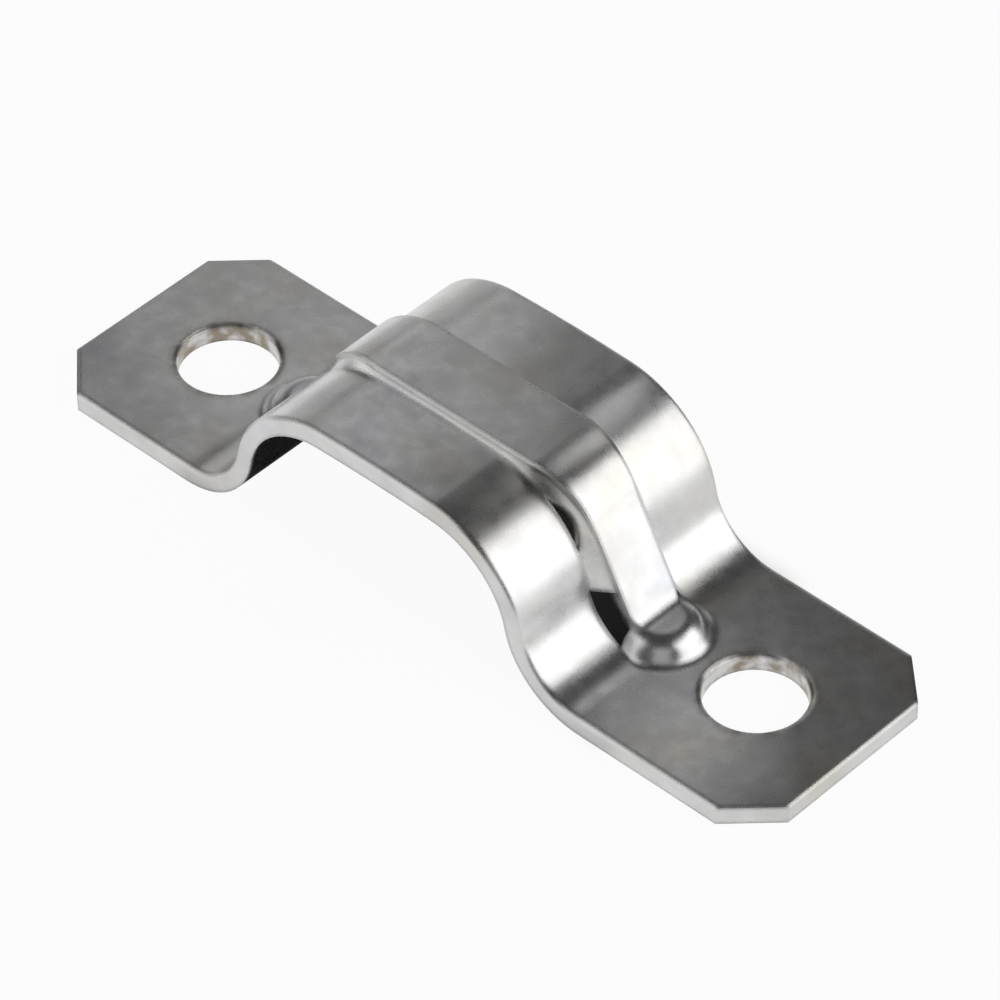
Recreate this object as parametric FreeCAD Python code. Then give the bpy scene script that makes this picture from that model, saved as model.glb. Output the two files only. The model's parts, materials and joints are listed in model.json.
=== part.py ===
import FreeCAD, Part
import math
import os

# Two-hole conduit strap, pressed from one strip of steel.
# Frame: millimetres, +X along the strap, +Y across it, +Z up.  The origin is the middle of
# the strap on the mounting surface, so the undersides of both feet lie at Z = 0.

# Blank
strap_length = 64.4
strap_width = 19.0
sheet = 1.4
foot_corner_x = 3.3
foot_corner_y = 3.2
edge_roll = 0.3

# Screw holes
hole_spacing = 47.8
hole_radius = 3.5
hole_roll = 0.3

# Saddle: a broad low arch, a little to the left of the middle of the feet
arch_shift = -0.7
arch_height = 12.2
crown_radius = 128.0
shoulder_radius = 8.1
shoulder_reach = 4.9
heel_radius = 5.0

# Raised rib along the middle of the strap
rib_rise = 0.6
rib_sheet = 1.2
window_half_width = 3.05
rib_corner_reach = 10.1
rib_corner_radius = 5.0
flank_foot_reach = 14.9
flank_foot_height = 4.0
crown_half_width = 2.85
flank_half_width = 2.15
taper_start = 7.0
taper_end = 12.0

# Side walls that join the rib to the bands.  Angles turn about the centre of a shoulder, from
# level (0) to upright (90).  A share of 1 brings a wall's lip just to the edge of the band.
slot_top_angle = {-1: 30.0, 1: 62.0}
slot_bottom_angle = {-1: 12.0, 1: 24.0}
wall_bottom_angle = {-1: 2.0, 1: 7.0}
joined_share = 1.2
slot_share = 0.45
wall_drop = 0.35
wall_root = 0.35
wall_inset = 0.05
wall_skin = 0.08
wall_sheet = 0.9
station_angle = 4.0
station_step = 1.2

# Toe: the rib steps down on to the foot; round in plan, drawn up with soft edges, hollow below
toe_top = 3.0
toe_start = 15.0
toe_centre = 15.7
toe_top_half_width = 2.35
toe_base_half_width = 3.35
toe_skirt_half_width = 4.3
toe_top_round = 1.6
toe_base_round = 0.8
toe_hollow_half_width = 1.95
toe_blend = 1.2
tongue_reach = 17.0
tongue_half_width = 1.0

clearance = 1.0
touch = 0.01

rib_top = arch_height + rib_rise
down = FreeCAD.Vector(0, 0, -1)


def point(x, z, y=0.0):
    return FreeCAD.Vector(x, y, z)


def line(start, end):
    return Part.LineSegment(start, end).toShape()


def unit(direction):
    return FreeCAD.Vector(direction).normalize()


def bend(centre, radius, start, end):
    """Arc of under half a turn about centre, from one direction to another."""
    middle = unit(unit(start) + unit(end))
    ends = [centre + direction * radius for direction in (unit(start), middle, unit(end))]
    return Part.Arc(*ends).toShape()


def box(x0, x1, y0, y1, z0, z1):
    return Part.makeBox(x1 - x0, y1 - y0, z1 - z0, FreeCAD.Vector(x0, y0, z0))


def solid_between(edges, y0, y1):
    """Solid from a closed outline in the XZ plane, between two values of Y."""
    face = Part.Face(Part.Wire(Part.__sortEdges__(edges)))
    face.translate(FreeCAD.Vector(0, y0, 0))
    return face.extrude(FreeCAD.Vector(0, y1 - y0, 0))


# --- Bent strip -------------------------------------------------------------------------

def band_centres(side):
    """Centres of the crown, shoulder and heel arcs on one side."""
    crown = point(arch_shift, arch_height - crown_radius)
    reach = crown_radius - shoulder_radius
    turn = math.asin(shoulder_reach / reach)
    shoulder = crown + point(side * reach * math.sin(turn), reach * math.cos(turn))
    rise = sheet + heel_radius - shoulder.z
    across = math.sqrt((shoulder_radius + heel_radius) ** 2 - rise ** 2)
    heel = shoulder + point(side * across, rise)
    return crown, shoulder, heel


def band_line(depth):
    """Profile of the strip from end to end, this far below its upper surface."""
    crown, right_shoulder, right_heel = band_centres(1)
    left_shoulder = band_centres(-1)[1]
    edges = [bend(crown, crown_radius - depth, left_shoulder - crown, right_shoulder - crown)]
    for side in (-1, 1):
        shoulder, heel = band_centres(side)[1:]
        edges.append(bend(shoulder, shoulder_radius - depth, shoulder - crown, heel - shoulder))
        edges.append(bend(heel, heel_radius + depth, shoulder - heel, down))
        foot = heel + down * (heel_radius + depth)
        edges.append(line(foot, point(side * strap_length / 2, foot.z)))
    return edges


def bent_strip():
    """The strip at full width, with its long upper edges rolled over by the shear."""
    edges = band_line(0.0) + band_line(sheet)
    for side in (-1, 1):
        end = side * strap_length / 2
        edges.append(line(point(end, 0.0), point(end, sheet)))
    solid = solid_between(edges, -strap_width / 2, strap_width / 2)
    upper = Part.Compound(band_line(0.0))
    rolled = []
    for edge in solid.Edges:
        middle = edge.valueAt((edge.FirstParameter + edge.LastParameter) / 2)
        near_side = abs(abs(middle.y) - strap_width / 2) < touch
        in_plane = Part.Vertex(middle.x, 0, middle.z)
        if near_side and upper.distToShape(in_plane)[0] < touch:
            rolled.append(edge)
    return solid.makeFillet(edge_roll, rolled)


def space_below():
    """The space under the strip, from its underside down past the mounting surface."""
    edges = band_line(sheet)
    corners = [point(-strap_length / 2, 0), point(-strap_length / 2, -clearance)]
    corners += [point(strap_length / 2, -clearance), point(strap_length / 2, 0)]
    for start, end in zip(corners, corners[1:]):
        edges.append(line(start, end))
    return solid_between(edges, -strap_width / 2, strap_width / 2)


def corner_cuts():
    """Triangular prisms that clip the four outer corners of the feet."""
    cuts = []
    for side_x in (-1, 1):
        for side_y in (-1, 1):
            tip = FreeCAD.Vector(side_x * strap_length / 2, side_y * strap_width / 2, -clearance)
            along = tip - FreeCAD.Vector(side_x * foot_corner_x, 0, 0)
            across = tip - FreeCAD.Vector(0, side_y * foot_corner_y, 0)
            face = Part.Face(Part.makePolygon([tip, along, across, tip]))
            cuts.append(face.extrude(FreeCAD.Vector(0, 0, sheet + 2 * clearance)))
    return cuts


def screw_hole(side):
    """Punch for one hole: a straight wall, flared where the punch rolled the upper edge in."""
    centre = point(side * hole_spacing / 2, -clearance)
    height = sheet + 2 * clearance
    punch = Part.makeCylinder(hole_radius, height, centre)
    rim = hole_radius + hole_roll
    throat = sheet - hole_roll
    ring = [
        line(point(0, throat), point(hole_radius, throat)),
        bend(point(rim, throat), hole_roll, point(-1, 0), point(0, 1)),
        line(point(rim, sheet), point(rim, height)),
        line(point(rim, height), point(0, height)),
        line(point(0, height), point(0, throat)),
    ]
    flare = Part.Face(Part.Wire(ring)).revolve(point(0, 0), FreeCAD.Vector(0, 0, 1), 360)
    flare.translate(point(centre.x, 0))
    return punch.fuse(flare)


# --- Rib --------------------------------------------------------------------------------

def rib_corners():
    """Corners of the rib's upper line, left to right, before they are rounded."""
    left, right = [], []
    for side, corners in ((-1, left), (1, right)):
        crown_end = point(side * rib_corner_reach, rib_top)
        flank_foot = point(side * flank_foot_reach, flank_foot_height)
        fall = flank_foot - crown_end
        knee = crown_end + fall * ((toe_top - rib_top) / fall.z)
        corners.extend([crown_end, knee, point(side * tongue_reach, toe_top)])
    return left[::-1] + right


def lowered(corners, depth):
    """The same line moved into the metal by this depth."""
    into = []
    for start, end in zip(corners, corners[1:]):
        run = unit(end - start)
        into.append(point(run.z, -run.x))
    moved = []
    for corner, before, after in zip(corners, into[:1] + into, into + into[-1:]):
        moved.append(corner + (before + after) * (depth / (1 + before.dot(after))))
    return moved


def rounded_line(corners, radii):
    """Lines through these corners, joined by tangent arcs of these radii."""
    edges = []
    start = corners[0]
    for before, corner, after, radius in zip(corners, corners[1:], corners[2:], radii):
        back, on = unit(before - corner), unit(after - corner)
        half = math.acos(max(-1.0, min(1.0, back.dot(on)))) / 2
        centre = corner + unit(back + on) * (radius / math.sin(half))
        trim = radius / math.tan(half)
        first, last = corner + back * trim, corner + on * trim
        edges.append(line(start, first))
        edges.append(bend(centre, radius, first - centre, last - centre))
        start = last
    edges.append(line(start, corners[-1]))
    return edges


def rib_line(depth):
    radii = [
        toe_blend + depth,
        rib_corner_radius - depth,
        rib_corner_radius - depth,
        toe_blend + depth,
    ]
    return rounded_line(lowered(rib_corners(), depth), radii)


def rib_edge(x):
    """Half the rib's width at x: full on the crown, narrower on the flanks."""
    share = (abs(x) - taper_start) / (taper_end - taper_start)
    share = min(max(share, 0.0), 1.0)
    return crown_half_width + (flank_half_width - crown_half_width) * share


def rib_plan():
    """Outline of the rib from above, carried up past its top."""
    upper = [FreeCAD.Vector(-tongue_reach, tongue_half_width, 0)]
    stops = [toe_start, taper_end, taper_start]
    for x in [-stop for stop in stops] + stops[::-1]:
        upper.append(FreeCAD.Vector(x, rib_edge(x), 0))
    upper.append(FreeCAD.Vector(tongue_reach, tongue_half_width, 0))
    lower = [FreeCAD.Vector(corner.x, -corner.y, 0) for corner in upper[::-1]]
    face = Part.Face(Part.makePolygon(upper + lower + upper[:1]))
    return face.extrude(FreeCAD.Vector(0, 0, rib_top + clearance))


def rib_strip():
    upper_line, lower_line = rib_corners(), lowered(rib_corners(), rib_sheet)
    edges = rib_line(0.0) + rib_line(rib_sheet)
    edges += [line(upper_line[0], lower_line[0]), line(upper_line[-1], lower_line[-1])]
    strip = solid_between(edges, -window_half_width, window_half_width)
    return strip.common(rib_plan())


def toe(side):
    """Boss on one foot: half round at its outer end, straight from there in under the rib."""
    corners = [
        point(0, toe_top),
        point(toe_top_half_width, toe_top),
        point(toe_base_half_width, sheet),
        point(toe_skirt_half_width, sheet),
    ]
    edges = rounded_line(corners, [toe_top_round, toe_base_round])
    edges.append(line(corners[-1], point(toe_skirt_half_width, 0)))
    edges.append(line(point(toe_skirt_half_width, 0), point(0, 0)))
    edges.append(line(point(0, 0), corners[0]))
    half = Part.Face(Part.Wire(Part.__sortEdges__(edges)))
    upright = FreeCAD.Vector(0, 0, 1)
    nose = half.revolve(point(0, 0), upright, 360)
    nose.translate(point(side * toe_centre, 0))
    pieces = [nose]
    for turn in (90, -90):
        profile = half.copy()
        profile.rotate(point(0, 0), upright, turn)
        profile.translate(point(side * toe_centre, 0))
        pieces.append(profile.extrude(point(side * (toe_start - toe_centre), 0)))
    boss = pieces[0].fuse(pieces[1:])
    reach = toe_centre + toe_skirt_half_width + clearance
    ends = sorted((side * toe_start, side * reach))
    keep = box(ends[0], ends[1], -strap_width / 2, strap_width / 2, 0, toe_top)
    return boss.common(keep)


def toe_hollow(side):
    """The hollow drawn up into the toe from below, open towards the arch."""
    roof = toe_top - rib_sheet
    half_width = toe_hollow_half_width
    nose = Part.makeCylinder(half_width, roof + clearance, point(side * toe_centre, -clearance))
    ends = sorted((side * (toe_start - clearance), side * toe_centre))
    return nose.fuse(box(ends[0], ends[1], -half_width, half_width, -clearance, roof))


# --- Side walls -------------------------------------------------------------------------

def lip_share(side, angle):
    """How far a side wall reaches across the gap from the rib to the band."""
    top, bottom = slot_top_angle[side], slot_bottom_angle[side]
    if not bottom < angle < top:
        return joined_share
    opening = math.sin(math.pi * (top - angle) / (top - bottom))
    return joined_share + (slot_share - joined_share) * opening


def shoulder_stations(side, first, last):
    """Rays out of a shoulder's centre between two angles, as (start, direction, share)."""
    centre = band_centres(side)[1]
    steps = math.ceil(abs(last - first) / station_angle)
    rays = []
    for step in range(steps + 1):
        angle = first + (last - first) * step / steps
        turned = math.radians(angle)
        direction = point(side * math.cos(turned), math.sin(turned))
        rays.append((centre, direction, lip_share(side, angle)))
    return rays


def crown_stations():
    """Upright rays from shoulder to shoulder, as (start, direction, share)."""
    left, right = band_centres(-1)[1], band_centres(1)[1]
    steps = math.ceil((right.x - left.x) / station_step)
    rays = []
    for step in range(steps + 1):
        rays.append((left + (right - left) * (step / steps), point(0, 1), joined_share))
    return rays


def crossing(edges, start, direction):
    """Where a ray meets a line of edges."""
    far = start + direction * strap_length
    return Part.Compound(edges).distToShape(line(start, far))[1][0][0]


def wall_section(rib, band, direction, share, side_y):
    """Section of a side wall in the plane of one ray, from its root in the rib to its lip."""
    edge = rib_edge(rib.x) - wall_inset
    top, foot = rib - direction * wall_drop, band - direction * wall_skin
    lip = top + (foot - top) * share
    lip_width = edge + (window_half_width - edge) * share
    corners = []
    for place, half_width in [
        (top, edge - wall_root),
        (top, edge),
        (lip, lip_width),
        (lip - direction * wall_sheet, lip_width),
        (rib - direction * (rib_sheet - wall_skin), edge - wall_root),
    ]:
        corners.append(FreeCAD.Vector(place.x, side_y * half_width, place.z))
    return Part.makePolygon(corners + corners[:1])


def side_wall(rays, side_y):
    rib_edges, band_edges = rib_line(0.0), band_line(0.0)
    sections = []
    for start, direction, share in rays:
        rib = crossing(rib_edges, start, direction)
        band = crossing(band_edges, start, direction)
        sections.append(wall_section(rib, band, direction, share, side_y))
    return Part.makeLoft(sections, True, False)


def side_walls():
    stretches = [crown_stations()]
    for side in (-1, 1):
        breaks = [wall_bottom_angle[side], slot_bottom_angle[side], slot_top_angle[side], 90.0]
        for first, last in zip(breaks, breaks[1:]):
            stretches.append(shoulder_stations(side, first, last))
    return [side_wall(rays, side_y) for rays in stretches for side_y in (-1, 1)]


# --- Strap ------------------------------------------------------------------------------

def strap():
    half_width = window_half_width
    body = bent_strip()
    body = body.cut(box(-toe_start, toe_start, -half_width, half_width, -clearance, rib_top))
    toes = Part.Compound([toe(-1), toe(1)]).cut(space_below())
    body = body.fuse([toes, rib_strip()] + side_walls())
    removed = corner_cuts()
    for side in (-1, 1):
        removed += [toe_hollow(side), screw_hole(side)]
    return body.cut(removed).removeSplitter()


os.makedirs("parts", exist_ok=True)
part = strap()
print("solids", len(part.Solids), "valid", part.isValid(), "volume", round(part.Volume, 1))
part.exportStep("parts/strap.step")
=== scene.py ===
import json
import math

import bpy
from mathutils import Matrix, Vector


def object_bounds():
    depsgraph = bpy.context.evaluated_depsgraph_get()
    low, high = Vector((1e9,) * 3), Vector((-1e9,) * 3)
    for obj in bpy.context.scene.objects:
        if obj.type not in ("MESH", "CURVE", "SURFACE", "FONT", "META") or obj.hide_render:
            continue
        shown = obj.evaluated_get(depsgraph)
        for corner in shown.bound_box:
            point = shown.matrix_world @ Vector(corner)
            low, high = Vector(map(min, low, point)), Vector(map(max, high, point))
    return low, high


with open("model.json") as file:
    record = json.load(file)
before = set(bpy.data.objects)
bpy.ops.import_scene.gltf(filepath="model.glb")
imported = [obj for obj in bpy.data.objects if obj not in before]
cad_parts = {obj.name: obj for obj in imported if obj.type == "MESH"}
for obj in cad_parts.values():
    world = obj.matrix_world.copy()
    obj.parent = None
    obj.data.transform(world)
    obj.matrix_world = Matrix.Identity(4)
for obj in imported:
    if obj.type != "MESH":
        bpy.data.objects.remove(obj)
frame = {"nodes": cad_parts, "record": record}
cad_low, cad_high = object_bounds()
strap = frame["nodes"]["strap"]
holes = next(mount for mount in frame["record"]["mounts"] if mount["name"] == "screw_holes")

MM = 0.001

# Camera: a long lens, looking down on the strap from its front right.
AZIMUTH = math.radians(43.659)
ELEVATION = math.radians(42.81)
ROLL = math.radians(-0.791)
DISTANCE = 0.4041
OFFSET = (-0.001038, -0.002392)
LENS = 219.56
SENSOR = 36
CLIP = (0.01, 10)

# Zinc plate: each scale is a noise texture's, in cells to the metre.
# Tarnish is nearly neutral, in warm and cool patches a few millimetres across.
TARNISH_SCALE = 150.0
TARNISH = [
    (0.30, (0.600, 0.575, 0.530, 1)),
    (0.44, (0.620, 0.615, 0.605, 1)),
    (0.58, (0.650, 0.650, 0.650, 1)),
    (0.72, (0.585, 0.590, 0.620, 1)),
]
CLOUD_SCALE = 380.0
CLOUD_SPAN = (0.3, 0.6)
CLOUD_SHADE = (0.90, 1.0)
GRAIN_SCALE = 900.0
GRAIN_ROUGHNESS = (0.20, 0.36)
# Brown stain in and around the punched holes, in blots that fade out past the rim.
STAIN = (0.20, 0.155, 0.095, 1)
HOLE_REACH = holes["dims"]["spacing_x_mm"] * MM / 2
HOLE_RADIUS = holes["dims"]["hole_r_mm"] * MM
STAIN_FADE = (HOLE_RADIUS + 0.8 * MM, HOLE_RADIUS - 0.2 * MM)
BLOT_SCALE = 700.0
BLOT_SPAN = (0.38, 0.60)
# Bumps as (noise scale, strength, height): waves of the pressed sheet, grain of the plating.
WAVES = (110.0, 2.0, 0.35, 0.5 * MM)
FINE_GRAIN = (2600.0, 3.0, 0.08, 0.02 * MM)
EDGE_SOFT = 0.5 * MM

# Studio: soft boxes as (name, direction from the strap, distance, width, height, radiance).
# The last three are small and near, so that the crown and each foot mirror one of their own.
SOFT_BOXES = [
    ("key", (0.80, 0.45, 0.40), 0.60, 0.70, 0.62, 1.85),
    ("left", (-0.74, 0.64, 0.18), 0.60, 0.90, 0.34, 0.52),
    ("front", (-0.48, -0.66, 0.40), 0.60, 0.60, 0.74, 1.05),
    ("right", (0.65, -0.65, 0.45), 0.80, 0.50, 0.40, 0.50),
    ("over", (-0.46, 0.50, 0.72), 0.60, 0.36, 0.30, 0.05),
    ("over_crown", (-0.510, 0.440, 0.739), 0.0715, 0.022, 0.030, 0.10),
    ("over_left_foot", (-0.595, 0.474, 0.648), 0.16, 0.04, 0.05, 0.48),
    ("over_right_foot", (0.180, 0.420, 0.889), 0.0322, 0.010, 0.010, 0.60),
]
WORLD_LEVEL = 0.05

FLOOR_SIZE = 3.0
FLOOR_GAP = 0.05 * MM
FLOOR_COLOUR = (0.93, 0.93, 0.93, 1)
FLOOR_ROUGHNESS = 0.9
FLOOR_GLOW = 0.95
# Painted shade on the floor under the arch, where its glow would undo the strap's own
# shadow.
# The footprint, measured from heel to heel, is what the strap's underside mirrors.
FOOTPRINT = (0.018, 0.0095)
FOOTPRINT_EDGE = (0.75, 1.20)
# Dark base colour of the painted shade under the strap.
FOOTPRINT_SHADE_COLOUR = (0.03, 0.03, 0.03, 1)
# The pit is painted deep shade behind the right flank, which shows through the slots.
# Each fade runs from full light to full shade; the near one lies aslant to the strap.
PIT_SHADE_SLANT = 0.5
PIT_SHADE_NEAR = (-0.0015, 0.0045)
PIT_SHADE_FAR = (0.0120, 0.0075)
PIT_SHADE_LEFT = (-0.0080, 0.0)
PIT_SHADE_RIGHT = (0.0200, 0.0165)


def link_in(name, data):
    made = bpy.data.objects.new(name, data)
    bpy.context.scene.collection.objects.link(made)
    return made


def camera():
    back = Vector((
        math.sin(AZIMUTH) * math.cos(ELEVATION),
        -math.cos(AZIMUTH) * math.cos(ELEVATION),
        math.sin(ELEVATION),
    ))
    level = Vector((0, 0, 1)).cross(back).normalized()
    upright = back.cross(level)
    across = level * math.cos(ROLL) + upright * math.sin(ROLL)
    up = upright * math.cos(ROLL) - level * math.sin(ROLL)
    data = bpy.data.cameras.new("camera")
    data.sensor_width = SENSOR
    data.lens = LENS
    data.clip_start, data.clip_end = CLIP
    place = back * DISTANCE - across * OFFSET[0] - up * OFFSET[1]
    turn = Matrix((across, up, back)).transposed().to_4x4()
    made = link_in("camera", data)
    made.matrix_world = Matrix.Translation(place) @ turn
    bpy.context.scene.camera = made


def node(tree, kind, **values):
    """Node of a kind, with sockets or settings given by name."""
    made = tree.nodes.new(kind)
    for name, value in values.items():
        if name in made.inputs:
            made.inputs[name].default_value = value
        else:
            setattr(made, name, value)
    return made


def socket(sockets, name):
    """The named socket that is in use, on a node that has several of that name."""
    return next(one for one in sockets if one.enabled and one.name == name)


def maths(tree, operation, *values):
    """Math node over values that are each a socket or a number."""
    made = node(tree, "ShaderNodeMath", operation=operation)
    for slot, value in zip(made.inputs, values):
        if isinstance(value, float):
            slot.default_value = value
        else:
            tree.links.new(value, slot)
    return made.outputs[0]


def noise(tree, place, scale, detail):
    made = node(tree, "ShaderNodeTexNoise", Scale=scale, Detail=detail)
    tree.links.new(place, made.inputs["Vector"])
    return made.outputs["Fac"]


def remap(tree, value, span=(0.0, 1.0), reach=(0.0, 1.0), kind="LINEAR"):
    """Value carried from a span to a reach, and held to the reach outside the span."""
    made = node(tree, "ShaderNodeMapRange", interpolation_type=kind)
    made.inputs["From Min"].default_value, made.inputs["From Max"].default_value = span
    made.inputs["To Min"].default_value, made.inputs["To Max"].default_value = reach
    tree.links.new(value, made.inputs["Value"])
    return made.outputs["Result"]


def fade(tree, value, span):
    """Smooth rise from nought at the first end of a span to one at the other."""
    rising = remap(tree, value, (min(span), max(span)), kind="SMOOTHSTEP")
    return rising if span[0] < span[1] else maths(tree, "SUBTRACT", 1.0, rising)


def colours(tree, share, stops):
    made = node(tree, "ShaderNodeValToRGB")
    elements = made.color_ramp.elements
    while len(elements) < len(stops):
        elements.new(0.5)
    for element, (position, colour) in zip(elements, stops):
        element.position, element.color = position, colour
    tree.links.new(share, made.inputs["Fac"])
    return made.outputs["Color"]


def blend_node(tree, share, second):
    """Colour mix by a share, towards a fixed second colour."""
    made = node(tree, "ShaderNodeMix", data_type="RGBA")
    socket(made.inputs, "B").default_value = second
    tree.links.new(share, socket(made.inputs, "Factor"))
    return made


def bump(tree, place, kind, normal):
    scale, detail, strength, height = kind
    made = node(tree, "ShaderNodeBump", Strength=strength, Distance=height)
    tree.links.new(normal, made.inputs["Normal"])
    tree.links.new(noise(tree, place, scale, detail), made.inputs["Height"])
    return made.outputs["Normal"]


def stain_share(tree, place):
    """How much stain covers a point: full inside either hole, and none away from both."""
    apart = node(tree, "ShaderNodeSeparateXYZ")
    tree.links.new(place, apart.inputs[0])
    from_hole = node(tree, "ShaderNodeCombineXYZ")
    reach = maths(tree, "ABSOLUTE", apart.outputs["X"])
    tree.links.new(maths(tree, "SUBTRACT", reach, HOLE_REACH), from_hole.inputs["X"])
    tree.links.new(apart.outputs["Y"], from_hole.inputs["Y"])
    radius = node(tree, "ShaderNodeVectorMath", operation="LENGTH")
    tree.links.new(from_hole.outputs[0], radius.inputs[0])
    near = remap(tree, radius.outputs["Value"], STAIN_FADE)
    blots = remap(tree, noise(tree, place, BLOT_SCALE, 3.0), BLOT_SPAN)
    return maths(tree, "MULTIPLY", near, blots)


def steel_material():
    made = bpy.data.materials.new("plated_steel")
    made.use_nodes = True
    tree = made.node_tree
    link = tree.links.new
    shader = tree.nodes["Principled BSDF"]
    shader.inputs["Metallic"].default_value = 1.0
    place = node(tree, "ShaderNodeTexCoord").outputs["Object"]

    tarnish = colours(tree, noise(tree, place, TARNISH_SCALE, 3.0), TARNISH)
    mottled = node(tree, "ShaderNodeVectorMath", operation="SCALE")
    link(tarnish, mottled.inputs[0])
    cloud = remap(tree, noise(tree, place, CLOUD_SCALE, 2.0), CLOUD_SPAN, CLOUD_SHADE)
    link(cloud, mottled.inputs["Scale"])
    stained = blend_node(tree, stain_share(tree, place), STAIN)
    link(mottled.outputs["Vector"], socket(stained.inputs, "A"))
    link(socket(stained.outputs, "Result"), shader.inputs["Base Color"])

    grain = noise(tree, place, GRAIN_SCALE, 3.0)
    link(remap(tree, grain, reach=GRAIN_ROUGHNESS), shader.inputs["Roughness"])

    rolled = node(tree, "ShaderNodeBevel", Radius=EDGE_SOFT).outputs["Normal"]
    waved = bump(tree, place, WAVES, rolled)
    link(bump(tree, place, FINE_GRAIN, waved), shader.inputs["Normal"])
    return made


def floor_material():
    """Pale floor whose glow makes it white to the camera and in the metal, with painted
    shade under the strap and behind its right flank.
    """
    made = bpy.data.materials.new("floor")
    made.use_nodes = True
    tree = made.node_tree
    link = tree.links.new
    shader = tree.nodes["Principled BSDF"]
    shader.inputs["Roughness"].default_value = FLOOR_ROUGHNESS

    apart = node(tree, "ShaderNodeSeparateXYZ")
    link(node(tree, "ShaderNodeTexCoord").outputs["Object"], apart.inputs[0])
    east, north = apart.outputs["X"], apart.outputs["Y"]
    reaches = [
        maths(tree, "DIVIDE", maths(tree, "ABSOLUTE", along), size)
        for along, size in zip((east, north), FOOTPRINT)
    ]
    outside_painted_shade = fade(tree, maths(tree, "MAXIMUM", *reaches), FOOTPRINT_EDGE)
    # Painted shade behind the right flank: smooth fades that make a mask taking the floor's
    # glow away from the camera.
    slanted = maths(tree, "ADD", north, maths(tree, "MULTIPLY", east, PIT_SHADE_SLANT))
    painted_pit_shade = fade(tree, slanted, PIT_SHADE_NEAR)
    for along, span in ((north, PIT_SHADE_FAR), (east, PIT_SHADE_LEFT), (east, PIT_SHADE_RIGHT)):
        painted_pit_shade = maths(tree, "MULTIPLY", painted_pit_shade, fade(tree, along, span))

    # Painted shade: dark base colour under the strap, pale floor past it.
    shade = blend_node(tree, outside_painted_shade, FLOOR_COLOUR)
    socket(shade.inputs, "A").default_value = FOOTPRINT_SHADE_COLOUR
    link(socket(shade.outputs, "Result"), shader.inputs["Base Color"])

    rays = node(tree, "ShaderNodeLightPath").outputs
    # Camera rays see the glow except over the painted pit shade.
    seen = maths(tree, "MULTIPLY", rays["Is Camera Ray"], maths(tree, "SUBTRACT", 1.0, painted_pit_shade))
    mirrored = maths(tree, "MAXIMUM", rays["Is Glossy Ray"], rays["Is Transmission Ray"])
    # Reflections get no glow under the strap, which paints shade into the strap's underside.
    mirrored = maths(tree, "MULTIPLY", mirrored, outside_painted_shade)
    share = maths(tree, "MULTIPLY", maths(tree, "MAXIMUM", seen, mirrored), FLOOR_GLOW)
    glow = node(tree, "ShaderNodeEmission", Color=(1, 1, 1, 1), Strength=1.0)
    mix = node(tree, "ShaderNodeMixShader")
    link(share, mix.inputs[0])
    link(shader.outputs[0], mix.inputs[1])
    link(glow.outputs[0], mix.inputs[2])
    link(mix.outputs[0], tree.nodes["Material Output"].inputs["Surface"])
    return made


def floor_sheet():
    half = FLOOR_SIZE / 2
    mesh = bpy.data.meshes.new("floor")
    corners = [(-half, -half, 0), (half, -half, 0), (half, half, 0), (-half, half, 0)]
    mesh.from_pydata(corners, [], [(0, 1, 2, 3)])
    mesh.materials.append(floor_material())
    made = link_in("floor", mesh)
    made.location = (0, 0, cad_low.z - FLOOR_GAP)
    return made


def soft_box(name, direction, distance, width, height, radiance):
    """Area lamp that faces the strap and is hidden from the camera."""
    data = bpy.data.lights.new(name, "AREA")
    data.shape = "RECTANGLE"
    data.size, data.size_y = width, height
    data.energy = radiance * math.pi * width * height
    towards = Vector(direction).normalized()
    made = link_in(name, data)
    made.visible_camera = False
    made.location = towards * distance
    made.rotation_mode = "QUATERNION"
    made.rotation_quaternion = towards.to_track_quat("Z", "Y")


def dim_world():
    world = bpy.data.worlds.new("studio")
    world.use_nodes = True
    background = world.node_tree.nodes["Background"]
    background.inputs["Color"].default_value = (1, 1, 1, 1)
    background.inputs["Strength"].default_value = WORLD_LEVEL
    bpy.context.scene.world = world


camera()
steel = steel_material()
for slot in strap.material_slots:
    slot.material = steel

floor = floor_sheet()

for box in SOFT_BOXES:
    soft_box(*box)
dim_world()
bpy.context.scene.view_settings.view_transform = "Standard"
